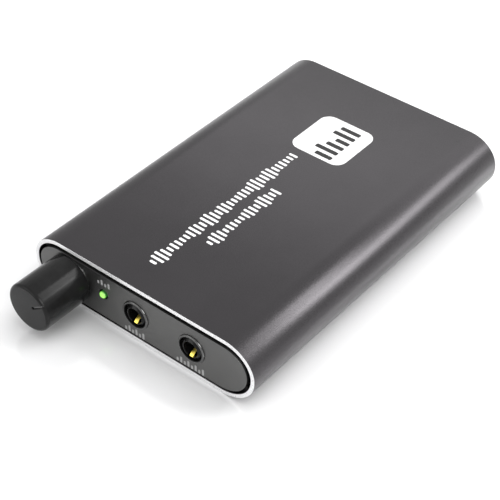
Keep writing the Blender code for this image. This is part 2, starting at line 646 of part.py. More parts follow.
def add_jack(tag, x):
    nose_front = -(PANEL_FACE + NOSE_STAND)
    body_front = -RAIL_END
    body_rear = body_front + JACK_LENGTH
    housing = add_box(tag + "_jack_housing", (x - JACK_HALF_WIDTH, body_front, SEAT),
                      (x + JACK_HALF_WIDTH, body_rear, 2 * AXIS_Z - SEAT), "black_plastic")
    nose = add_rod(tag + "_jack_nose", x, AXIS_Z, NOSE_RADIUS, nose_front, body_front + 1.0 * MM,
                   segments=32)
    bore = add_rod(tag + "_jack_bore", x, AXIS_Z, JACK_BORE, nose_front - OVERCUT,
                   body_rear - JACK_REAR_WALL, segments=32)
    combine(housing, nose, "UNION")
    combine(housing, bore)

    slot_half = CONTACT_WIDTH / 2 + GAP
    groove = add_box(tag + "_jack_groove", (x - slot_half, nose_front - OVERCUT, AXIS_Z - GROOVE_DEPTH),
                     (x + slot_half, nose_front + GROOVE_LENGTH, AXIS_Z))
    combine(housing, groove)
    for name, side, start in (("tip", 1, body_rear - TIP_SLOT_START),
                              ("ring", -1, body_front + RING_SLOT_START)):
        reach = sorted((x, x + side * SLOT_REACH))
        slot = add_box("{}_{}_slot".format(tag, name), (reach[0], start, AXIS_Z - slot_half),
                       (reach[1], start + SLOT_LENGTH, AXIS_Z + slot_half))
        combine(housing, slot)
        path = [(x + side * away * MM, start + along * MM, AXIS_Z) for away, along in SPRING_PATH]
        add_strip("{}_jack_{}_contact".format(tag, name), path, (0, 0, 1), "gold_contact")
    sleeve_path = [(x, nose_front + along * MM, AXIS_Z - below * MM) for below, along in SLEEVE_SPRING_PATH]
    add_strip(tag + "_jack_sleeve_contact", sleeve_path, (1, 0, 0), "gold_contact")


# Board components

def add_chip(name, x, y, width, depth, height, legs):
    """A moulded chip with gull-wing legs along its two long sides."""
    bottom = SEAT + CHIP_FOOT
    body = add_box(name, (x - width / 2, y - depth / 2, bottom),
                   (x + width / 2, y + depth / 2, bottom + height), "black_plastic", 0.15 * MM)
    pitch = width / legs
    half = pitch * CHIP_LEG_SHARE / 2
    rows = []
    for index in range(legs):
        middle = x - width / 2 + pitch * (index + 0.5)
        for side in (-1, 1):
            inner, outer = sorted((y + side * (depth / 2 - CHIP_LEG_ROOT),
                                   y + side * (depth / 2 + CHIP_LEG_REACH)))
            rows.append(((middle - half, inner, SEAT + CHIP_LEG_LOW),
                         (middle + half, outer, SEAT + CHIP_LEG_HIGH)))
    combine(body, add_boxes(name + "_legs", rows), "UNION")


def add_capacitor(name, x, y):
    """A canned electrolytic capacitor with its pinched waist."""
    waist = CAPACITOR_RADIUS - CAPACITOR_WAIST
    profile = [(0.0, CAPACITOR_HEIGHT), (waist, CAPACITOR_HEIGHT),
               (CAPACITOR_RADIUS, CAPACITOR_HEIGHT - CAPACITOR_WAIST),
               (CAPACITOR_RADIUS, 5 * CAPACITOR_WAIST),
               (waist, 4 * CAPACITOR_WAIST), (waist, 3 * CAPACITOR_WAIST),
               (CAPACITOR_RADIUS, 2 * CAPACITOR_WAIST), (CAPACITOR_RADIUS, 0.0), (0.0, 0.0)]
    add_turned(name, profile, Matrix.Translation((x, y, SEAT)), "bright_metal", 24)


def add_board_components():
    for name, (x, y, width, depth, height, legs) in CHIPS.items():
        add_chip(name, x * MM, y * MM, width * MM, depth * MM, height * MM, legs)
    add_box("power_inductor", INDUCTOR_LOW, INDUCTOR_HIGH, "ferrite", 0.6 * MM)
    for index, (x, y) in enumerate(CAPACITORS):
        add_capacitor("filter_capacitor_{}".format(index + 1), x * MM, y * MM)


# Battery

def add_battery():
    add_box("battery_pouch", BATTERY_LOW, BATTERY_HIGH, "battery_foil", 0.8 * MM)
    add_box("battery_foam_pad", (BATTERY_LOW[0] + PAD_MARGIN, BATTERY_LOW[1] + PAD_MARGIN, SEAT),
            (BATTERY_HIGH[0] - PAD_MARGIN, BATTERY_HIGH[1] - PAD_MARGIN, BATTERY_LOW[2] - GAP), "grey_foam")
    board_rear = BATTERY_LOW[1] - GAP
    board_front = board_rear - PROTECTION_BOARD_THICKNESS
    add_box("battery_protection_board", (PROTECTION_BOARD_LOW[0], board_front, PROTECTION_BOARD_LOW[1]),
            (PROTECTION_BOARD_HIGH[0], board_rear, PROTECTION_BOARD_HIGH[1]), "green_board", 0.2 * MM)

    header = add_box("battery_header", HEADER_LOW, HEADER_HIGH, "white_nylon")
    pocket = add_box("header_pocket",
                     (HEADER_LOW[0] + HEADER_WALL, HEADER_LOW[1] - OVERCUT, HEADER_LOW[2] + HEADER_WALL),
                     (HEADER_HIGH[0] - HEADER_WALL, HEADER_HIGH[1] - HEADER_BACK,
                      HEADER_HIGH[2] - HEADER_WALL))
    combine(header, pocket)
    add_box("battery_plug", PLUG_LOW, PLUG_HIGH, "white_nylon", 0.2 * MM)

    start_y = board_front - GAP
    end_y = PLUG_LOW[1] - GAP
    black = [(8.5, start_y / MM, 8.2), (8.8, -14.2, 8.1), (11.4, -16.4, 7.8), (16.0, -17.2, 7.3),
             (18.6, -15.6, 7.1), (19.1, end_y / MM, 7.1)]
    red = [(5.5, start_y / MM, 9.6), (5.9, -15.4, 9.5), (9.6, -18.6, 9.0), (16.2, -19.6, 8.0),
           (20.4, -17.0, 7.2), (21.1, end_y / MM, 7.1)]
    for name, route in (("battery_lead_black", black), ("battery_lead_red", red)):
        places = [Vector(place) * MM for place in route]
        add_wire(name, places, LEAD_RADIUS, name.split("_")[-1] + "_insulation", 4)


# Rear panel fittings

def add_charge_socket():
    rear = PANEL_FACE
    low = (USB_X - USB_WIDTH / 2, rear - USB_LENGTH, SEAT)
    high = (USB_X + USB_WIDTH / 2, rear, SEAT + USB_HEIGHT)
    shell = add_box("charge_socket_shell", low, high, "bright_metal", 0.5 * MM)
    hollow = add_box("charge_socket_hollow",
                     (low[0] + USB_SHELL, low[1] + USB_SHELL, low[2] + USB_SHELL),
                     (high[0] - USB_SHELL, high[1] + OVERCUT, high[2] - USB_SHELL))
    combine(shell, hollow)
    add_box("charge_socket_tongue",
            (USB_X - TONGUE_HALF_WIDTH, low[1] + USB_SHELL + 0.45 * MM, SEAT + TONGUE_LOW),
            (USB_X + TONGUE_HALF_WIDTH, rear - TONGUE_SETBACK, SEAT + TONGUE_HIGH), "black_plastic")


def add_gain_switch():
    """A slide switch: the stem runs in a slot and stands at the low-gain end."""
    can_rear = PANEL_BACK - GAIN_BODY_SETBACK
    lip_front = can_rear - GAIN_LIP
    half_travel = GAIN_TRAVEL / 2
    stem = GAIN_STEM / 2
    carriage = GAIN_CARRIAGE_HALF
    rise = stem + GAP
    body = add_box("gain_switch_body", (GAIN_X - GAIN_BODY_HALF, can_rear - GAIN_BODY_DEPTH, SEAT),
                   (GAIN_X + GAIN_BODY_HALF, can_rear, SEAT + GAIN_BODY_HEIGHT), "bright_metal")
    track_half = carriage + half_travel + GAP
    track = add_box("gain_switch_track", (GAIN_X - track_half, lip_front - GAIN_TRACK_DEPTH, GAIN_Z - rise),
                    (GAIN_X + track_half, lip_front, GAIN_Z + rise))
    slot_half = stem + half_travel + GAP
    slot = add_box("gain_switch_slot", (GAIN_X - slot_half, lip_front - OVERCUT, GAIN_Z - rise),
                   (GAIN_X + slot_half, can_rear + OVERCUT, GAIN_Z + rise))
    combine(body, track)
    combine(body, slot)

    x = GAIN_X - half_travel
    carriage_rear = lip_front - GAP
    slider = add_box("gain_switch_slider", (x - carriage, carriage_rear - GAIN_CARRIAGE_DEPTH, GAIN_Z - stem),
                     (x + carriage, carriage_rear, GAIN_Z + stem), "black_plastic")
    stem_tool = add_box("gain_switch_stem", (x - stem, carriage_rear - OVERCUT, GAIN_Z - stem),
                        (x + stem, CASE_LENGTH / 2 + GAIN_STEM_STAND, GAIN_Z + stem))
    combine(slider, stem_tool, "UNION")


def add_charge_light():
    add_box("charge_led_chip", (LIGHT_X + CHARGE_LED_LOW[0], CHARGE_LED_LOW[1], SEAT),
            (LIGHT_X + CHARGE_LED_HIGH[0], CHARGE_LED_HIGH[1], CHARGE_LED_TOP), "clear_lens", 0.1 * MM)
    add_rod("charge_light_pipe", LIGHT_X, LIGHT_Z, LIGHT_RADIUS, LIGHT_PIPE_START, PANEL_FACE,
            "clear_lens", 20)


add_case_sleeve()
add_panels()
add_rear_screws()
add_main_board()
add_volume_control()
add_volume_rotor()
add_power_light()
for jack, jack_x in JACK_X.items():
    add_jack(jack, jack_x)
add_board_components()
add_battery()
add_charge_socket()
add_gain_switch()
add_charge_light()
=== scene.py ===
"""Looks of the pocket headphone amplifier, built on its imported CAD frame. Lengths are in metres."""

import math

import bmesh
import bpy
from mathutils import Matrix, Quaternion, Vector


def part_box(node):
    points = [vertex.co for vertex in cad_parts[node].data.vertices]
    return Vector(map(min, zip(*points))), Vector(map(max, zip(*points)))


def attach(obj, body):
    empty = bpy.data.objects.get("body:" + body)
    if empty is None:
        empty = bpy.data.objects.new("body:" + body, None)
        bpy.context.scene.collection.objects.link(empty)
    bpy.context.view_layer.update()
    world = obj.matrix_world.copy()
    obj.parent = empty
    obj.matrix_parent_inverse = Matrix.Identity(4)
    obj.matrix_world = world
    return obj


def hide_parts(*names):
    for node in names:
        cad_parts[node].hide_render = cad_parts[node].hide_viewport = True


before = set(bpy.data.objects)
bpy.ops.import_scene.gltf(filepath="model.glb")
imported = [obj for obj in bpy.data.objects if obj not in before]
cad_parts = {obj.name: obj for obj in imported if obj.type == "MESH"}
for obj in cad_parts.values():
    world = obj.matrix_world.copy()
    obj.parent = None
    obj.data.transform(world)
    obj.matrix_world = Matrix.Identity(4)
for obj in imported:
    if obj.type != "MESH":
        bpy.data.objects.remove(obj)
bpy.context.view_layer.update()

MM = 0.001

# Case, from the frame's box and the section's corner arcs
CASE_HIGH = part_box("case_sleeve")[1]
HALF_WIDTH = CASE_HIGH.x
HALF_LENGTH = CASE_HIGH.y
HEIGHT = CASE_HIGH.z
TOP_CORNER = (7.7 * MM, 6.9 * MM)
BOTTOM_CORNER = (8.8 * MM, 7.9 * MM)
WALL = 1.0 * MM
RIM_ROUNDING = 0.07 * MM            # of the cut end's outer edge
INK = 0.02 * MM                     # thickness of printed marks
SLIVER = 0.0004                     # millimetres: corners nearer than this after a cut are one corner
FLAT_SIDES = 20.0                   # degrees: keeps small edge roundings out of the flat sides' shading
SAME_CORNER = 0.0005 * MM           # corners of a plate nearer than this are one corner
SAME_CAD_CORNER = 0.001 * MM        # the same for a CAD node's copy

# Knob, from its joint and its box
KNOB_LOW, KNOB_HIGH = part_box("volume_knob")
KNOB_X = (KNOB_LOW.x + KNOB_HIGH.x) / 2
KNOB_Z = (KNOB_LOW.z + KNOB_HIGH.z) / 2
KNOB_RADIUS = (KNOB_HIGH.x - KNOB_LOW.x) / 2
POINTER_ANGLE = math.radians(34.0)

# Front and rear panels
FRONT_LOW, FRONT_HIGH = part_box("front_panel")
REAR_LOW, REAR_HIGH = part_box("rear_panel")
PANEL_INSET = HALF_WIDTH - FRONT_HIGH.x
FRONT_FACE = FRONT_LOW.y
REAR_FACE = REAR_HIGH.y
SHAFT_HOLE = 3.3 * MM
POWER_LIGHT_HOLE = 1.25 * MM
SCREW_HOLE = 1.2 * MM
CHARGE_LIGHT_HOLE = 1.15 * MM
LIT_LENGTH = 0.6 * MM               # how far down its length the power light glows

# Jacks
JACK_HOLE = 2.9 * MM
JACK_BORE = 1.85 * MM
JACK_FRONT = FRONT_HIGH.y + 0.3 * MM  # where a housing's block starts, behind the panel
NOSE_RADIUS = 2.6 * MM
COLLAR_RADIUS = 3.45 * MM           # raised round each jack's hole
COLLAR_STAND = 0.36 * MM
COLLAR_ROUNDING = 0.3 * MM
DARK_RADIUS = 3.05 * MM             # of the black surface round each jack
CONTACT_WIDTH = 1.0 * MM
CONTACT_THICKNESS = 0.25 * MM

# Camera
CAMERA_AZIMUTH = math.radians(38.43)
CAMERA_ELEVATION = math.radians(41.11)
CAMERA_ROLL = math.radians(0.93)
CAMERA_DISTANCE = 0.31553
CAMERA_TARGET = Vector((-2.84, -5.0, -2.26)) * MM
CAMERA_LENS = 100.44

FRONT_FACING = Matrix.Rotation(math.radians(90.0), 4, "X")   # local Z points to -Y, local Y to +Z
REAR_FACING = Matrix.Rotation(math.radians(-90.0), 4, "X")   # local Z points to +Y


def centre_of(node):
    low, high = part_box(node)
    return (low + high) / 2


LED_X = centre_of("power_led_lens").x
LED_Z = centre_of("power_led_lens").z
JACK_X = {tag: centre_of(tag + "_jack_housing").x for tag in ("input", "output")}
JACK_Z = KNOB_Z
SCREW_X = centre_of("rear_screw_right").x
SCREW_Z = centre_of("rear_screw_right").z
LIGHT_X = centre_of("charge_light_pipe").x
LIGHT_Z = centre_of("charge_light_pipe").z
GAIN_X = centre_of("gain_switch_body").x


# Materials

def new_material(name):
    material = bpy.data.materials.new(name)
    material.use_nodes = True
    tree = material.node_tree
    return material, tree, tree.nodes["Principled BSDF"]


def add_node(tree, kind, **settings):
    node = tree.nodes.new(kind)
    for key, value in settings.items():
        setattr(node, key, value)
    return node


def noise(tree, size, detail=4.0, roughness=0.55):
    """Noise whose features are about the given size across, in the piece's own coordinates."""
    place = add_node(tree, "ShaderNodeTexCoord")
    texture = add_node(tree, "ShaderNodeTexNoise")
    texture.inputs["Scale"].default_value = 1.0 / size
    texture.inputs["Detail"].default_value = detail
    texture.inputs["Roughness"].default_value = roughness
    tree.links.new(place.outputs["Object"], texture.inputs["Vector"])
    return texture.outputs["Fac"]


def spread(tree, factor, low, high, start=0.3, end=0.7):
    """Map a noise factor to numbers from low to high."""
    scale = add_node(tree, "ShaderNodeMapRange")
    scale.inputs["From Min"].default_value = start
    scale.inputs["From Max"].default_value = end
    scale.inputs["To Min"].default_value = low
    scale.inputs["To Max"].default_value = high
    tree.links.new(factor, scale.inputs["Value"])
    return scale.outputs["Result"]


def two_tone(tree, factor, dark, light, start=0.3, end=0.7):
    ramp = add_node(tree, "ShaderNodeValToRGB")
    ramp.color_ramp.elements[0].position = start
    ramp.color_ramp.elements[0].color = (*dark, 1.0)
    ramp.color_ramp.elements[1].position = end
    ramp.color_ramp.elements[1].color = (*light, 1.0)
    tree.links.new(factor, ramp.inputs["Fac"])
    return ramp.outputs["Color"]


def bump(tree, shader, height, distance, strength=1.0):
    relief = add_node(tree, "ShaderNodeBump")
    relief.inputs["Distance"].default_value = distance
    relief.inputs["Strength"].default_value = strength
    tree.links.new(height, relief.inputs["Height"])
    tree.links.new(relief.outputs["Normal"], shader.inputs["Normal"])


def surface(name, colour, roughness, metallic=0.0, shade=0.12, rough_spread=0.05, patch=6.0 * MM,
            grain=0.15 * MM, relief=0.002 * MM, specular=0.5):
    """A finish with patchy tone, uneven roughness and a fine grain in its relief."""
    material, tree, shader = new_material(name)
    dark = tuple(channel * (1.0 - shade) for channel in colour)
    light = tuple(min(channel * (1.0 + shade), 1.0) for channel in colour)
    patches = noise(tree, patch)
    fine = noise(tree, grain, detail=2.0)
    tree.links.new(two_tone(tree, patches, dark, light), shader.inputs["Base Color"])
    tree.links.new(spread(tree, fine, roughness - rough_spread, roughness + rough_spread),
                   shader.inputs["Roughness"])
    bump(tree, shader, fine, relief)
    shader.inputs["Metallic"].default_value = metallic
    shader.inputs["Specular IOR Level"].default_value = specular
    return material


def board_material():
    """Solder mask over copper: tracks as cell borders, with the copper areas a lighter green."""
    material, tree, shader = new_material("board_mask")
    place = add_node(tree, "ShaderNodeTexCoord")
    cells = add_node(tree, "ShaderNodeTexVoronoi", feature="F1", distance="MANHATTAN")
    cells.inputs["Scale"].default_value = 1.0 / (3.2 * MM)
    tree.links.new(place.outputs["Object"], cells.inputs["Vector"])
    lines = add_node(tree, "ShaderNodeMath", operation="PINGPONG")
    lines.inputs[1].default_value = 0.12
    tree.links.new(cells.outputs["Distance"], lines.inputs[0])
    tone = two_tone(tree, lines.outputs["Value"], (0.006, 0.075, 0.028), (0.02, 0.16, 0.06), 0.05, 0.07)
    tree.links.new(tone, shader.inputs["Base Color"])
    weave = noise(tree, 0.5 * MM)
    tree.links.new(spread(tree, weave, 0.28, 0.42), shader.inputs["Roughness"])
    bump(tree, shader, lines.outputs["Value"], 0.03 * MM)
    return material


def foam_material():
    """Closed cells, darker in their middles: painted shade in each cell's hollow."""
    material, tree, shader = new_material("foam_cells_painted_shade")
    place = add_node(tree, "ShaderNodeTexCoord")
    cells = add_node(tree, "ShaderNodeTexVoronoi")
    cells.inputs["Scale"].default_value = 1.0 / (0.35 * MM)
    tree.links.new(place.outputs["Object"], cells.inputs["Vector"])
    # painted shade: each cell's hollow middle is given a darker colour
    tone = two_tone(tree, cells.outputs["Distance"], (0.02, 0.02, 0.022), (0.07, 0.07, 0.075), 0.1, 0.8)
    tree.links.new(tone, shader.inputs["Base Color"])
    shader.inputs["Roughness"].default_value = 0.95
    bump(tree, shader, cells.outputs["Distance"], 0.1 * MM)
    return material


def led_material(name, tip, base, strength):
    """Tinted diffused epoxy, lit from inside: brightest at the tip of the dome and a little cloudy."""
    material, tree, shader = new_material(name)
    place = add_node(tree, "ShaderNodeTexCoord")
    axes = add_node(tree, "ShaderNodeSeparateXYZ")
    tree.links.new(place.outputs["Object"], axes.inputs["Vector"])
    depth = add_node(tree, "ShaderNodeMapRange")
    depth.inputs["From Min"].default_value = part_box("power_led_lens")[0].y + LIT_LENGTH
    depth.inputs["From Max"].default_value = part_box("power_led_lens")[0].y
    tree.links.new(axes.outputs["Y"], depth.inputs["Value"])
    cloud = noise(tree, 0.5 * MM)
    mixed = add_node(tree, "ShaderNodeMath", operation="MULTIPLY")
    tree.links.new(depth.outputs["Result"], mixed.inputs[0])
    tree.links.new(spread(tree, cloud, 0.85, 1.0), mixed.inputs[1])
    tone = two_tone(tree, mixed.outputs["Value"], base, tip, 0.0, 0.7)
    tree.links.new(tone, shader.inputs["Base Color"])
    tree.links.new(tone, shader.inputs["Emission Color"])
    shader.inputs["Emission Strength"].default_value = strength
    tree.links.new(spread(tree, cloud, 0.25, 0.35), shader.inputs["Roughness"])
    return material


SLEEVE = surface("anodised_sleeve", (0.083, 0.079, 0.083), 0.29, 1.0, shade=0.04, rough_spread=0.05,
                 patch=14.0 * MM, grain=0.12 * MM, relief=0.006 * MM)
PANEL = surface("anodised_plate", (0.128, 0.128, 0.126), 0.42, 1.0, shade=0.04, rough_spread=0.05,
                patch=9.0 * MM, grain=0.1 * MM, relief=0.006 * MM)
CUT_METAL = surface("cut_aluminium", (0.83, 0.83, 0.835), 0.3, 0.35, shade=0.02, rough_spread=0.04,
                    patch=5.0 * MM, grain=0.25 * MM, relief=0.0003 * MM)
KNOB_BLACK = surface("knob_black", (0.013, 0.013, 0.013), 0.19, 0.0, shade=0.2, rough_spread=0.04,
                     patch=3.0 * MM, grain=0.2 * MM, relief=0.0006 * MM, specular=0.15)
MOULDED_BLACK = surface("moulded_black", (0.008, 0.008, 0.008), 0.3, 0.0, shade=0.3, rough_spread=0.08,
                        patch=2.0 * MM, grain=0.15 * MM, relief=0.002 * MM)
JACK_BLACK = surface("jack_black", (0.008, 0.008, 0.008), 0.16, 0.0, shade=0.3, rough_spread=0.04,
                     patch=2.0 * MM, grain=0.15 * MM, relief=0.0008 * MM, specular=0.2)
COLLAR_METAL = surface("collar_metal", (0.12, 0.12, 0.119), 0.16, 1.0, shade=0.04, rough_spread=0.04,
                       patch=3.0 * MM, grain=0.1 * MM, relief=0.001 * MM)
GOLD = surface("gold_plate", (0.96, 0.74, 0.14), 0.3, 1.0, shade=0.08, rough_spread=0.05,
               patch=1.0 * MM, grain=0.1 * MM, relief=0.001 * MM)
TINNED = surface("tinned_steel", (0.7, 0.7, 0.69), 0.28, 1.0, shade=0.08, rough_spread=0.08,
                 patch=2.5 * MM, grain=0.2 * MM, relief=0.003 * MM)
BLACK_STEEL = surface("black_steel", (0.04, 0.04, 0.042), 0.32, 0.9, shade=0.2, patch=0.8 * MM,
                      grain=0.1 * MM, relief=0.002 * MM)
CAN_METAL = surface("can_aluminium", (0.72, 0.73, 0.74), 0.25, 1.0, shade=0.05, patch=2.0 * MM,
                    grain=0.2 * MM, relief=0.002 * MM)
WHITE_INK = surface("white_ink", (0.86, 0.86, 0.86), 0.5, 0.0, shade=0.03, patch=1.0 * MM,
                    grain=0.06 * MM, relief=0.001 * MM)
GREY_INK = surface("grey_ink", (0.36, 0.36, 0.36), 0.5, 0.0, shade=0.06, patch=0.6 * MM,
                   grain=0.06 * MM, relief=0.001 * MM)
KNOB_LINE = surface("knob_line", (0.09, 0.09, 0.09), 0.4, 0.0, shade=0.1, patch=0.6 * MM,
                    grain=0.06 * MM, relief=0.001 * MM)
BLACK_INK = surface("black_ink", (0.012, 0.012, 0.012), 0.45, 0.0, shade=0.2, patch=1.0 * MM,
                    grain=0.06 * MM, relief=0.001 * MM)
NYLON = surface("natural_nylon", (0.72, 0.7, 0.63), 0.42, 0.0, shade=0.05, patch=1.5 * MM,
                grain=0.1 * MM, relief=0.002 * MM)
RED_LEAD = surface("red_lead", (0.5, 0.02, 0.015), 0.38, 0.0, shade=0.12, patch=1.2 * MM)
BLACK_LEAD = surface("black_lead", (0.014, 0.014, 0.014), 0.38, 0.0, shade=0.25, patch=1.2 * MM)
FERRITE = surface("ferrite_grey", (0.035, 0.035, 0.037), 0.65, 0.0, shade=0.35, patch=0.4 * MM,
                  grain=0.08 * MM, relief=0.01 * MM)
CLEAR = surface("milky_guide", (0.82, 0.84, 0.84), 0.15, 0.0, shade=0.04, patch=0.8 * MM)
BOARD = board_material()
FOAM = foam_material()
FOIL = surface("pouch_foil", (0.56, 0.57, 0.59), 0.3, 0.85, shade=0.06, patch=8.0 * MM,
               grain=1.6 * MM, relief=0.06 * MM)    # its grain is the laminate's shallow creases
GREEN_LIGHT = led_material("green_lens_lit", (0.4, 1.0, 0.16), (0.02, 0.12, 0.02), 0.55)


# Mesh helpers

def link_mesh(name, mesh, materials, placing=None):
    piece = bpy.data.objects.new(name, mesh)
    bpy.context.scene.collection.objects.link(piece)
    for material in materials:
        mesh.materials.append(material)
    if placing:
        mesh.transform(placing)
    return piece


def finished(name, shape):
    bmesh.ops.recalc_face_normals(shape, faces=shape.faces)
    mesh = bpy.data.meshes.new(name)
    shape.to_mesh(mesh)
    shape.free()
    return mesh


def evaluate(piece):
    """Apply every modifier of a piece to its mesh."""
    bpy.context.view_layer.update()
    evaluated = piece.evaluated_get(bpy.context.evaluated_depsgraph_get())
    mesh = bpy.data.meshes.new_from_object(evaluated)
    piece.modifiers.clear()
    old = piece.data
    piece.data = mesh
    bpy.data.meshes.remove(old)


def soften(piece, width, angle=40.0):
    bevel = piece.modifiers.new("soft_edges", "BEVEL")
    bevel.width = width
    bevel.segments = 2
    bevel.limit_method = "ANGLE"
    bevel.angle_limit = math.radians(angle)
    evaluate(piece)


def shade(piece, angle=35.0):
    """Smooth shading, with edges sharper than the angle in degrees kept sharp."""
    piece.data.shade_smooth()
    piece.data.set_sharp_from_angle(angle=math.radians(angle))


def cut(piece, tool, operation="DIFFERENCE"):
    """Cut or join with a tool object, which is then removed. Both are worked in millimetres for precision."""
    for shaped in (piece, tool):
        shaped.data.transform(Matrix.Scale(1 / MM, 4))
    boolean = piece.modifiers.new("tool", "BOOLEAN")
    boolean.operation = operation
    boolean.solver = "EXACT"
    boolean.object = tool
    evaluate(piece)
    shape = bmesh.new()
    shape.from_mesh(piece.data)
    bmesh.ops.remove_doubles(shape, verts=shape.verts, dist=SLIVER)
    bmesh.ops.holes_fill(shape, edges=[edge for edge in shape.edges if edge.is_boundary], sides=4)
    shape.to_mesh(piece.data)
    shape.free()
    piece.data.transform(Matrix.Scale(MM, 4))
    bpy.data.objects.remove(tool, do_unlink=True)


def box(name, low, high, materials=()):
    shape = bmesh.new()
    middle = (Vector(low) + Vector(high)) / 2
    size = Vector(high) - Vector(low)
    bmesh.ops.create_cube(shape, size=1.0, matrix=Matrix.Translation(middle) @ Matrix.Diagonal((*size, 1.0)))
    return link_mesh(name, finished(name, shape), materials)


def grid_solid(name, rows, materials, closed_rows):
    """A closed skin over rows of points; each row is a closed loop of equal length."""
    shape = bmesh.new()
    made = [[shape.verts.new(place) for place in row] for row in rows]
    count = len(made[0])
    pairs = list(zip(made, made[1:]))
    if closed_rows:
        pairs.append((made[-1], made[0]))
    for here, there in pairs:
        for index in range(count):
            following = (index + 1) % count
            shape.faces.new((here[index], here[following], there[following], there[index]))
    if not closed_rows:
        shape.faces.new(made[0])
        shape.faces.new(list(reversed(made[-1])))
    return link_mesh(name, finished(name, shape), materials)


def turned(name, profile, placing, materials, segments=96):
    """A solid of revolution about local Z from (radius, height) points; a profile off the axis is a ring."""
    rows = []
    closed = profile[0][0] > 0
    body = profile if closed else profile[1:-1]
    for radius, height in body:
        turns = [2 * math.pi * step / segments for step in range(segments)]
        rows.append([placing @ Vector((radius * math.cos(turn), radius * math.sin(turn), height))
                     for turn in turns])
    return grid_solid(name, rows, materials, closed)


def arc(centre, radius, start, end, steps):
    """(across, up) points along an arc, angles in degrees."""
    points = []
    for step in range(steps + 1):
        turn = math.radians(start + (end - start) * step / steps)
        points.append((centre[0] + radius * math.cos(turn), centre[1] + radius * math.sin(turn)))
    return points


def plate(name, loops, thickness, placing, materials, edge=0.0):
    """Flat shapes from closed (x, y) loops; a loop inside another is a hole in it. Edge rounds every rim."""
    outline = bpy.data.curves.new(name + "_drawing", "CURVE")
    outline.dimensions = "2D"
    outline.fill_mode = "BOTH"
    outline.extrude = thickness / 2 - edge
    outline.bevel_depth = edge
    outline.bevel_resolution = 1
    outline.offset = -edge
    for loop in loops:
        spline = outline.splines.new("POLY")
        spline.points.add(len(loop) - 1)
        for point, (x, y) in zip(spline.points, loop):
            point.co = (x, y, 0.0, 1.0)
        spline.use_cyclic_u = True
    drawing = bpy.data.objects.new(name + "_drawing", outline)
    bpy.context.scene.collection.objects.link(drawing)
    bpy.context.view_layer.update()
    loose = bpy.data.meshes.new_from_object(drawing.evaluated_get(bpy.context.evaluated_depsgraph_get()))
    bpy.data.objects.remove(drawing, do_unlink=True)
    shape = bmesh.new()
    shape.from_mesh(loose)
    bpy.data.meshes.remove(loose)
    bmesh.ops.remove_doubles(shape, verts=shape.verts, dist=SAME_CORNER)
    return link_mesh(name, finished(name, shape), materials, placing)


def paint(piece, material, test):
    """Give the faces that pass the test another material."""
    piece.data.materials.append(material)
    slot = len(piece.data.materials) - 1
    for face in piece.data.polygons:
        if test(face):
            face.material_index = slot


# Case sleeve

def case_outline(inset=0.0, steps=20):
    """The case's cross-section as (across, up) points, moved inwards by the inset."""
    outline = []
    for side, level, start in ((1, 1, 0), (-1, 1, 90), (-1, -1, 180), (1, -1, 270)):
        across, rise = TOP_CORNER if level > 0 else BOTTOM_CORNER
        centre_x = side * (HALF_WIDTH - across)
        centre_z = HEIGHT - rise if level > 0 else rise
        for step in range(steps + 1):
            turn = math.radians(start + 90 * step / steps)
            outline.append((centre_x + (across - inset) * math.cos(turn),
                            centre_z + (rise - inset) * math.sin(turn)))
    return outline


def add_sleeve():
    """The extruded sleeve. Its skin is one ink thickness inside the frame's, so marks lie within it."""
    end = []
    for step in range(4):
        turn = math.radians(90 * step / 3)
        end.append((HALF_LENGTH - RIM_ROUNDING * (1 - math.sin(turn)),
                    INK + RIM_ROUNDING * (1 - math.cos(turn))))
    inner_edge = 0.08 * MM
    end += [(HALF_LENGTH, WALL - inner_edge), (HALF_LENGTH - inner_edge, WALL)]
    stations = [(-y, inset) for y, inset in end] + [(y, inset) for y, inset in reversed(end)]
    rows = [[(x, y, z) for x, z in case_outline(inset)] for y, inset in stations]
    sleeve = grid_solid("sleeve_shell", rows, [SLEEVE], closed_rows=True)

    rail_end = HALF_LENGTH - 2.2 * MM
    rail_inner = 24.8 * MM
    rail_height = 0.9 * MM
    web_inner, web_outer = 27.5 * MM, 29.1 * MM
    web_half = 0.7 * MM
    port_radius = 1.8 * MM
    bore_radius = 1.1 * MM
    past_end = HALF_LENGTH * 1.1
    tools = []
    for low_z, reach in ((2.3 * MM, 27.0 * MM), (5.0 * MM, 28.8 * MM)):
        for side in (-1, 1):
            near, far = sorted((side * rail_inner, side * reach))
            tools.append(box("rail", (near, -rail_end, low_z), (far, rail_end, low_z + rail_height)))
    for side in (-1, 1):
        near, far = sorted((side * web_inner, side * web_outer))
        tools.append(box("web", (near, -rail_end, SCREW_Z - web_half), (far, rail_end, SCREW_Z + web_half)))
        port = [(0.0, -rail_end), (port_radius, -rail_end), (port_radius, rail_end), (0.0, rail_end)]
        tools.append(turned("port", port, place_at(side * SCREW_X, SCREW_Z, 0.0), [], 40))
    for tool in tools:
        cut(sleeve, tool, "UNION")
    for side in (-1, 1):
        bore = [(0.0, -past_end), (bore_radius, -past_end), (bore_radius, past_end), (0.0, past_end)]
        cut(sleeve, turned("bore", bore, place_at(side * SCREW_X, SCREW_Z, 0.0), [], 28))
    shade(sleeve, FLAT_SIDES)
    paint(sleeve, CUT_METAL, lambda face: abs(face.center.y) > HALF_LENGTH - RIM_ROUNDING * 0.5)
    return sleeve


def place_at(x, z, y, facing=FRONT_FACING):
    return Matrix.Translation((x, y, z)) @ facing


# Panels

def circle(x, y, radius, steps=72):
    turns = [2 * math.pi * step / steps for step in range(steps)]
    return [(x + radius * math.cos(turn), y + radius * math.sin(turn)) for turn in turns]


def rounded(x_low, y_low, x_high, y_high, radius, steps=8):
    """A rectangle with round corners, as a loop of points."""
    loop = []
    for x, y, start in ((x_high - radius, y_high - radius, 0), (x_low + radius, y_high - radius, 90),
                        (x_low + radius, y_low + radius, 180), (x_high - radius, y_low + radius, 270)):
        loop += arc((x, y), radius, start, start + 90, steps)
    return loop


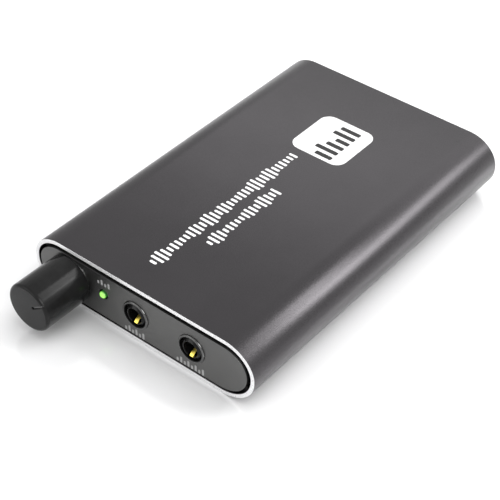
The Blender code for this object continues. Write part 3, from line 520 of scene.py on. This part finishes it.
def add_front_plate():
    """The front panel with a raised, rounded ring round each jack's hole."""
    thickness = FRONT_HIGH.y - FRONT_LOW.y
    holes = [circle(KNOB_X, KNOB_Z, SHAFT_HOLE), circle(LED_X, LED_Z, POWER_LIGHT_HOLE)]
    panel = plate("front_plate", [case_outline(PANEL_INSET)] + holes, thickness,
                  place_at(0.0, 0.0, (FRONT_LOW.y + FRONT_HIGH.y) / 2), [PANEL], 0.04 * MM)
    face = -FRONT_FACE
    foot = face - 0.5 * MM
    crown = face + COLLAR_STAND
    sunk = crown - 0.04 * MM
    boss = [(0.0, foot), (COLLAR_RADIUS, foot)]
    boss += arc((COLLAR_RADIUS - COLLAR_ROUNDING, crown - COLLAR_ROUNDING), COLLAR_ROUNDING, 0.0, 90.0, 6)
    boss += [(DARK_RADIUS, crown), (DARK_RADIUS - 0.1 * MM, sunk), (0.0, sunk)]
    past = 5 * MM
    bore = [(0.0, face - past), (JACK_HOLE, face - past), (JACK_HOLE, face + past), (0.0, face + past)]
    for x in JACK_X.values():
        cut(panel, turned("boss", boss, place_at(x, JACK_Z, 0.0), [], 72), "UNION")
        cut(panel, turned("bore", bore, place_at(x, JACK_Z, 0.0), [], 72))
    shade(panel, FLAT_SIDES)
    paint(panel, COLLAR_METAL, lambda face: on_a_collar(face, COLLAR_RADIUS + INK))
    paint(panel, JACK_BLACK, lambda face: on_a_collar(face, DARK_RADIUS))
    return panel


def on_a_collar(face, reach):
    """Whether a face of the front plate, near a jack's axis, is on the raised ring or in the hole."""
    off = min(math.hypot(face.center.x - x, face.center.z - JACK_Z) for x in JACK_X.values())
    return off < reach and (face.center.y < FRONT_FACE - INK or off < JACK_HOLE + INK)


def add_rear_plate():
    """The rear panel with holes for the screws, charge light, charging socket and gain switch."""
    thickness = REAR_HIGH.y - REAR_LOW.y
    socket_low, socket_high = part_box("charge_socket_shell")
    stem_low, stem_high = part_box("gain_switch_slider")
    holes = [circle(side * SCREW_X, SCREW_Z, SCREW_HOLE) for side in (-1, 1)]
    holes.append(circle(LIGHT_X, LIGHT_Z, CHARGE_LIGHT_HOLE))
    margin = 0.4 * MM
    holes.append(rounded(socket_low.x - margin, socket_low.z - margin, socket_high.x + margin,
                         socket_high.z + margin, 0.9 * MM))
    travel_half = 2.2 * MM
    stem_gap = 0.6 * MM
    holes.append(rounded(GAIN_X - travel_half, stem_low.z - stem_gap, GAIN_X + travel_half,
                         stem_high.z + stem_gap, 0.4 * MM))
    panel = plate("rear_plate", [case_outline(PANEL_INSET)] + holes, thickness,
                  place_at(0.0, 0.0, (REAR_LOW.y + REAR_HIGH.y) / 2), [PANEL], 0.12 * MM)
    shade(panel, FLAT_SIDES)
    return panel


# Knob

def add_knob():
    """The hollow knob with a groove for its pointer, and the mark that lies in the groove."""
    front = -KNOB_LOW.y
    rear = -KNOB_HIGH.y
    fillet = 0.75 * MM
    recess = rear + 2.2 * MM
    recess_radius = 5.1 * MM
    bore = front - 2.1 * MM
    bore_radius = 3.3 * MM
    edge = [(KNOB_RADIUS - fillet + fillet * math.sin(turn), front - fillet + fillet * math.cos(turn))
            for turn in (math.radians(9 * step) for step in range(11))]
    foot = 0.2 * MM
    profile = [(0.0, front)] + edge
    profile += [(KNOB_RADIUS, rear + foot), (KNOB_RADIUS - foot, rear), (recess_radius, rear),
                (recess_radius, recess), (bore_radius, recess), (bore_radius, bore), (0.0, bore)]
    knob = turned("knob_cap", profile, place_at(KNOB_X, KNOB_Z, 0.0), [KNOB_BLACK], 144)
    placing = place_at(KNOB_X, KNOB_Z, 0.0) @ Matrix.Rotation(POINTER_ANGLE, 4, "Z")
    depth = 0.35 * MM
    outline = rounded(1.6 * MM, -0.3 * MM, KNOB_RADIUS + 1.0 * MM, 0.3 * MM, 0.28 * MM)
    groove = plate("groove", [outline], 2 * MM, placing @ Matrix.Translation((0, 0, front - depth + MM)), [])
    cut(knob, groove)
    shade(knob)
    line = rounded(1.8 * MM, -0.2 * MM, KNOB_RADIUS - 0.8 * MM, 0.2 * MM, 0.15 * MM)
    pointer = plate("knob_pointer_mark", [line], 2 * INK,
                    placing @ Matrix.Translation((0, 0, front - depth)), [KNOB_LINE])
    return knob, pointer


# Jacks

def side_contacts(rear):
    """Each side contact's name, side and the start of its slot, for a housing that ends at rear."""
    return ("tip", 1, rear - 5.6 * MM), ("ring", -1, JACK_FRONT + 1.6 * MM)


def add_jack_housing(tag, x):
    """The CAD housing's block and bore with a rounded nose lip, and its rows of contact slots."""
    low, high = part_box(tag + "_jack_housing")
    block = box(tag + "_jack_block", (low.x, JACK_FRONT, low.z), (high.x, high.y, high.z), [JACK_BLACK])
    nose_front = -low.y
    soften(block, 0.25 * MM)
    crest = JACK_BORE + 0.12 * MM
    slope_end = (NOSE_RADIUS - 0.1 * MM, nose_front - 0.42 * MM)
    crest_half = 0.04 * MM
    lip = [(JACK_BORE, nose_front - 0.1 * MM), (crest - crest_half, nose_front),
           (crest + crest_half, nose_front), slope_end, (NOSE_RADIUS, slope_end[1] - 0.12 * MM)]
    nose = [(0.0, lip[0][1])] + lip + [(NOSE_RADIUS, -JACK_FRONT - MM), (0.0, -JACK_FRONT - MM)]
    cut(block, turned("nose", nose, place_at(x, JACK_Z, 0.0), [], 72), "UNION")
    bore_end = -high.y + 0.8 * MM
    bore = [(0.0, nose_front + MM), (JACK_BORE, nose_front + MM), (JACK_BORE, bore_end), (0.0, bore_end)]
    cut(block, turned("bore", bore, place_at(x, JACK_Z, 0.0), [], 72))
    slot_half = 0.8 * MM
    slot_length = 3.9 * MM
    slot_reach = 4.0 * MM
    groove_depth = 2.25 * MM
    groove_length = 5.0 * MM
    cut(block, box("groove", (x - slot_half, low.y - MM, JACK_Z - groove_depth),
                   (x + slot_half, low.y + groove_length, JACK_Z)))
    for _, side, start in side_contacts(high.y):
        near, far = sorted((x, x + side * slot_reach))
        cut(block, box("slot", (near, start, JACK_Z - slot_half),
                       (far, start + slot_length, JACK_Z + slot_half)))
    shade(block)
    return block


def add_contact(name, path, across):
    """A bent, round-edged spring strip along a smooth curve through the path's points."""
    knots = [Vector(place) for place in path]
    knots = [2 * knots[0] - knots[1]] + knots + [2 * knots[-1] - knots[-2]]
    smooth = []
    for before, start, end, after in zip(knots, knots[1:], knots[2:], knots[3:]):
        for step in range(6):
            t = step / 6
            smooth.append(0.5 * (2 * start + (end - before) * t
                                 + (2 * before - 5 * start + 4 * end - after) * t ** 2
                                 + (3 * start - before - 3 * end + after) * t ** 3))
    smooth.append(knots[-2])
    side = Vector(across).normalized()
    rows = []
    for index, place in enumerate(smooth):
        along = smooth[min(index + 1, len(smooth) - 1)] - smooth[max(index - 1, 0)]
        lift = side.cross(along).normalized()
        loop = rounded(-CONTACT_WIDTH / 2, -CONTACT_THICKNESS / 2, CONTACT_WIDTH / 2, CONTACT_THICKNESS / 2,
                       CONTACT_THICKNESS * 0.45, 3)
        rows.append([place + side * u + lift * v for u, v in loop])
    strip = grid_solid(name, rows, [GOLD], closed_rows=False)
    shade(strip, 40.0)
    return strip


def add_jack_contacts(tag, x):
    """A jack's three springs, each with the name of the CAD node it stands for; paths are in millimetres."""
    low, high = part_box(tag + "_jack_housing")
    made = []
    for name, side, start in side_contacts(high.y):
        path = [(x + side * away * MM, start + along * MM, JACK_Z)
                for away, along in ((3.0, 0.5), (2.0, 1.0), (1.35, 1.8), (1.6, 2.6), (2.3, 3.4))]
        made.append((add_contact("{}_jack_{}_spring".format(tag, name), path, (0, 0, 1)),
                     "{}_jack_{}_contact".format(tag, name)))
    path = [(x, low.y + along * MM, JACK_Z - below * MM)
            for along, below in ((0.3, 2.1), (0.75, 1.6), (1.6, 1.15), (2.3, 0.8), (2.8, 0.85),
                                 (3.8, 1.4))]
    made.append((add_contact(tag + "_jack_sleeve_spring", path, (1, 0, 0)), tag + "_jack_sleeve_contact"))
    return made


# Small fittings

def add_led():
    """The power light: a domed lens on a flange."""
    low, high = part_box("power_led_lens")
    radius = 0.84 * MM
    front = -low.y
    rear = -high.y
    rise = 0.7 * radius
    dome = [(radius * math.sin(turn), front - rise * (1 - math.cos(turn)))
            for turn in (math.radians(7.5 * step) for step in range(13))]
    flange = rear + 0.6 * MM
    flange_radius = 1.7 * MM
    profile = dome + [(radius, flange), (flange_radius, flange), (flange_radius, rear), (0.0, rear)]
    lens = turned("power_light_dome", profile, place_at(LED_X, LED_Z, 0.0), [GREEN_LIGHT], 64)
    shade(lens)
    return lens


def add_screw(tag, x):
    """A rear screw with a domed head and a cross recess."""
    low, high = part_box("rear_screw_" + tag)
    head = 1.8 * MM
    seat = REAR_FACE + 0.3 * MM
    top = high.y
    rise = top - seat
    dome = [(head * math.sin(turn), top - rise * 0.8 * (1 - math.cos(turn)))
            for turn in (math.radians(9 * step) for step in range(11))]
    thread_radius = 0.8 * MM
    tip_radius = 0.3 * MM
    taper = 0.5 * MM
    shank = [(thread_radius, seat), (thread_radius, low.y + taper), (tip_radius, low.y), (0.0, low.y)]
    profile = dome + [(head, seat)] + shank
    screw = turned("rear_screw_head_" + tag, profile, place_at(x, SCREW_Z, 0.0, REAR_FACING), [BLACK_STEEL],
                   64)
    recess_floor = seat + 0.5 * MM
    arm, arm_half = 1.05 * MM, 0.17 * MM
    for half_x, half_z in ((arm, arm_half), (arm_half, arm)):
        cut(screw, box("recess", (x - half_x, recess_floor, SCREW_Z - half_z),
                       (x + half_x, recess_floor + 3 * MM, SCREW_Z + half_z)))
    shade(screw)
    return screw


def add_socket_shell():
    """The charging socket's hollow can, closed at the back."""
    low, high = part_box("charge_socket_shell")
    middle = (low + high) / 2
    wall = 0.35 * MM
    outer = rounded(low.x - middle.x, low.z - middle.z, high.x - middle.x, high.z - middle.z, 0.8 * MM)
    shell = plate("charge_socket_can", [outer], high.y - low.y, place_at(middle.x, middle.z, middle.y),
                  [TINNED])
    soften(shell, 0.08 * MM, 60.0)
    inner = rounded(low.x - middle.x + wall, low.z - middle.z + wall, high.x - middle.x - wall,
                    high.z - middle.z - wall, 0.5 * MM)
    cut(shell, plate("hollow", [inner], high.y - low.y, place_at(middle.x, middle.z, middle.y + wall), []))
    shade(shell)
    return shell


def finer(node, width, material):
    """A CAD node's own shape with its hard edges rounded off."""
    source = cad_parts[node]
    piece = bpy.data.objects.new(node + "_fine", source.data.copy())
    piece.data.materials.clear()
    piece.data.materials.append(material)
    bpy.context.scene.collection.objects.link(piece)
    shape = bmesh.new()
    shape.from_mesh(piece.data)
    bmesh.ops.remove_doubles(shape, verts=shape.verts, dist=SAME_CAD_CORNER)
    bmesh.ops.dissolve_limit(shape, angle_limit=math.radians(2.0), verts=shape.verts, edges=shape.edges)
    shape.to_mesh(piece.data)
    shape.free()
    soften(piece, width, 45.0)
    shade(piece)
    return piece


# Printed marks, all generic

def mark(name, loops, placing, ink, low=0.0, high=1.0):
    """A thin closed print over a flat face at local Z = 0, from low to high in ink thicknesses."""
    middle = Matrix.Translation((0, 0, INK * (low + high) / 2))
    return plate(name, loops, INK * (high - low), placing @ middle, [ink])


def add_top_marks():
    """A white badge with level bars, and two rows of wave bars, where the photo has print."""
    top = Matrix.Translation((0.0, 0.0, HEIGHT - INK))
    badge = rounded(-7.2 * MM, 13.7 * MM, 7.2 * MM, 28.7 * MM, 2.7 * MM, 12)
    made = [mark("badge_ground", [badge], top, WHITE_INK, 0.0, 0.5)]
    levels = []
    for index in range(6):
        y = 15.3 * MM + index * 2.2 * MM
        reach = (2.6 + 3.4 * abs(math.sin(0.95 * index + 0.6))) * MM
        levels.append(rounded(4.0 * MM - reach, y - 0.62 * MM, 4.0 * MM, y + 0.62 * MM, 0.3 * MM, 4))
    made.append(mark("badge_levels", levels, top, BLACK_INK, 0.5, 1.0))
    for name, x, half, start, end in (("wave_row_long", -3.4, 2.1, -36.8, 11.5),
                                      ("wave_row_short", 1.6, 1.9, -24.8, -1.2)):
        pitch = 1.3
        count = round((end - start) / pitch)
        loops = []
        for index in range(count):
            y = start + (end - start) * (index + 0.5) / count
            swing = 0.42 + 0.58 * abs(math.sin(0.8 * index) * math.cos(0.23 * index))
            reach = half * swing
            loops.append(rounded((x - reach) * MM, (y - 0.33) * MM, (x + reach) * MM, (y + 0.33) * MM,
                                 0.3 * MM, 4))
        made.append(mark(name, loops, top, WHITE_INK))
    return made


def dash_row(x_low, x_high, z_low, z_high, count):
    """Small upright bars of alternating height across a strip given in millimetres."""
    loops = []
    pitch = (x_high - x_low) / count
    for index in range(count):
        x = x_low + pitch * (index + 0.5)
        rise = (z_high - z_low) * (1.0 if index % 2 else 0.6)
        loops.append(rounded((x - pitch * 0.27) * MM, z_low * MM, (x + pitch * 0.27) * MM,
                             (z_low + rise) * MM, pitch * 0.2 * MM, 3))
    return loops


def add_front_marks():
    """Rows of dashes where the photo has words by the power light and the jacks."""
    face = place_at(0.0, 0.0, FRONT_FACE)
    power = dash_row(-11.7, -7.8, 10.5, 11.9, 4)
    inward = dash_row(-4.4, 1.4, 1.9, 3.5, 6)
    outward = dash_row(9.8, 17.5, 1.9, 3.5, 8)
    return [mark("front_mark_power", power, face, GREY_INK), mark("front_mark_input", inward, face, GREY_INK),
            mark("front_mark_output", outward, face, GREY_INK)]


def add_rear_marks():
    """A short and a tall bar beside the gain switch's ends, and a battery outline by the charge light."""
    face = place_at(0.0, 0.0, REAR_FACE, REAR_FACING)
    low_end = rounded(GAIN_X - 3.6 * MM, -7.1 * MM, GAIN_X - 3.1 * MM, -6.5 * MM, 0.1 * MM, 3)
    high_end = rounded(GAIN_X + 3.1 * MM, -7.7 * MM, GAIN_X + 3.6 * MM, -5.9 * MM, 0.1 * MM, 3)
    shell = rounded(LIGHT_X - 1.5 * MM, -10.6 * MM, LIGHT_X + 1.5 * MM, -9.2 * MM, 0.25 * MM, 4)
    hollow = rounded(LIGHT_X - 1.25 * MM, -10.35 * MM, LIGHT_X + 1.25 * MM, -9.45 * MM, 0.12 * MM, 4)
    tip = rounded(LIGHT_X + 1.6 * MM, -10.2 * MM, LIGHT_X + 1.85 * MM, -9.6 * MM, 0.1 * MM, 3)
    return [mark("rear_mark_gain", [low_end, high_end], face, GREY_INK),
            mark("rear_mark_battery", [shell, hollow, tip], face, GREY_INK)]


# Build the outside

def assign(piece, body, slot, *nodes):
    """Ride a piece on its body and hide the CAD nodes it stands for; the slot argument is not used."""
    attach(piece, body)
    if nodes:
        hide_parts(*nodes)


assign(add_sleeve(), "case", "anodised_case", "case_sleeve")
assign(add_front_plate(), "case", "anodised_panel", "front_panel")
assign(add_rear_plate(), "case", "anodised_panel", "rear_panel")
knob_cap, knob_mark = add_knob()
assign(knob_cap, "volume", "black_knob", "volume_knob")
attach(knob_mark, "volume")
assign(add_led(), "case", "green_lens", "power_led_lens")
for jack_tag, jack_x in JACK_X.items():
    assign(add_jack_housing(jack_tag, jack_x), "case", "black_plastic", jack_tag + "_jack_housing")
    for contact, node in add_jack_contacts(jack_tag, jack_x):
        assign(contact, "case", "gold_contact", node)
assign(add_screw("left", -SCREW_X), "case", "screw_steel", "rear_screw_left")
assign(add_screw("right", SCREW_X), "case", "screw_steel", "rear_screw_right")
assign(add_socket_shell(), "case", "bright_metal", "charge_socket_shell")
for print_piece in add_top_marks() + add_front_marks() + add_rear_marks():
    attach(print_piece, "case")


# Inside, and the small fittings that keep their frame shape

FINE_NODES = {
    "battery_pouch": (0.5 * MM, FOIL, "case", "battery_foil"),
    "battery_foam_pad": (0.25 * MM, FOAM, "case", "grey_foam"),
    "battery_header": (0.12 * MM, NYLON, "case", "white_nylon"),
    "battery_plug": (0.12 * MM, NYLON, "case", "white_nylon"),
    "power_inductor": (0.3 * MM, FERRITE, "case", "ferrite"),
    "power_switch_body": (0.2 * MM, TINNED, "case", "bright_metal"),
    "volume_pot_body": (0.2 * MM, MOULDED_BLACK, "case", "black_plastic"),
    "volume_pot_front": (0.1 * MM, TINNED, "case", "bright_metal"),
    "volume_pot_nut": (0.12 * MM, TINNED, "case", "bright_metal"),
    "volume_pot_washer": (0.05 * MM, TINNED, "case", "bright_metal"),
    "power_led_holder": (0.15 * MM, MOULDED_BLACK, "case", "black_plastic"),
    "gain_switch_body": (0.12 * MM, TINNED, "case", "bright_metal"),
    "gain_switch_slider": (0.12 * MM, MOULDED_BLACK, "gain_slider", "black_plastic"),
    "charge_socket_tongue": (0.08 * MM, MOULDED_BLACK, "case", "black_plastic"),
    "charge_light_pipe": (0.08 * MM, CLEAR, "case", "clear_lens"),
}
for node, (width, material, body, slot) in FINE_NODES.items():
    assign(finer(node, width, material), body, slot, node)

KEPT_NODES = {
    "main_board": BOARD, "battery_protection_board": BOARD,
    "battery_lead_red": RED_LEAD, "battery_lead_black": BLACK_LEAD,
    "charge_led_chip": CLEAR, "volume_terminal_strip": MOULDED_BLACK,
    "volume_shaft": TINNED, "volume_wiper": GOLD,
    "power_led_leg_left": TINNED, "power_led_leg_right": TINNED,
    "headphone_driver_chip": MOULDED_BLACK, "gain_stage_chip": MOULDED_BLACK,
    "battery_charger_chip": MOULDED_BLACK, "voltage_converter_chip": MOULDED_BLACK,
    "filter_capacitor_1": CAN_METAL, "filter_capacitor_2": CAN_METAL,
    "filter_capacitor_3": CAN_METAL, "filter_capacitor_4": CAN_METAL,
}
for node, material in KEPT_NODES.items():
    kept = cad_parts[node]
    kept.data.materials.clear()
    kept.data.materials.append(material)
    shade(kept)


# Floor, lights and camera

# Place, width, height, power in watts and roll in degrees
LIGHTS = {
    "right_strip": ((0.405, 0.485, 0.365), 0.5, 0.2, 1.5, -10.0),
    "corner_strip": ((0.375, 0.34, 0.55), 0.4, 0.15, 1.2, 56.0),
    "back_box": ((-0.3, 1.0, 0.75), 1.2, 0.5, 1.4, 0.0),
    "side_box": ((0.6, -0.28, 0.53), 0.45, 0.4, 4.2, 0.0),
    "front_box": ((-0.45, -0.85, 0.42), 0.8, 0.35, 1.8, 0.0),
    "key_box": ((0.15, 0.1, 0.9), 0.6, 0.6, 3.0, 0.0),
}


def paper_material():
    """Near-white paper with a faint mottle, glossy enough to mirror the case softly."""
    material, tree, shader = new_material("paper_floor")
    mottle = noise(tree, 30 * MM)
    tone = two_tone(tree, mottle, (0.93, 0.93, 0.935), (0.95, 0.95, 0.955))
    tree.links.new(tone, shader.inputs["Base Color"])
    tree.links.new(spread(tree, mottle, 0.1, 0.13), shader.inputs["Roughness"])
    shader.inputs["IOR"].default_value = 2.0
    return material


def add_floor():
    shape = bmesh.new()
    bmesh.ops.create_grid(shape, x_segments=8, y_segments=8, size=3.0)
    floor = link_mesh("paper_floor", finished("paper_floor", shape), [paper_material()])


def add_panel_light(name, place, width, height, power, roll):
    """A soft rectangular light that faces the frame's origin, turned by roll degrees about its aim."""
    light = bpy.data.lights.new(name, "AREA")
    light.shape = "RECTANGLE"
    light.size = width
    light.size_y = height
    light.energy = power
    lamp = bpy.data.objects.new(name, light)
    lamp.location = place
    aim = (-Vector(place)).to_track_quat("-Z", "Y")
    lamp.rotation_euler = (aim @ Quaternion((0.0, 0.0, 1.0), math.radians(roll))).to_euler()
    bpy.context.scene.collection.objects.link(lamp)
    return lamp


def add_world():
    world = bpy.data.worlds.new("studio")
    world.use_nodes = True
    background = world.node_tree.nodes["Background"]
    background.inputs["Color"].default_value = (1.0, 1.0, 1.0, 1.0)
    background.inputs["Strength"].default_value = 0.8
    bpy.context.scene.world = world


def add_camera():
    azimuth, elevation = CAMERA_AZIMUTH, CAMERA_ELEVATION
    back = Vector((math.sin(azimuth) * math.cos(elevation), -math.cos(azimuth) * math.cos(elevation),
                   math.sin(elevation)))
    view = bpy.data.cameras.new("camera")
    view.lens = CAMERA_LENS
    view.sensor_width = 36.0
    view.clip_start = 0.01
    view.clip_end = 20.0
    camera = bpy.data.objects.new("camera", view)
    turn = (-back).to_track_quat("-Z", "Y").to_matrix().to_4x4() @ Matrix.Rotation(CAMERA_ROLL, 4, "Z")
    camera.matrix_world = Matrix.Translation(CAMERA_TARGET + back * CAMERA_DISTANCE) @ turn
    bpy.context.scene.collection.objects.link(camera)
    bpy.context.scene.camera = camera


add_floor()
add_world()
lamps = {name: add_panel_light(name, *settings) for name, settings in LIGHTS.items()}
lamps["side_box"].visible_diffuse = False
lamps["key_box"].visible_glossy = False
add_camera()
bpy.context.scene.view_settings.view_transform = "Standard"
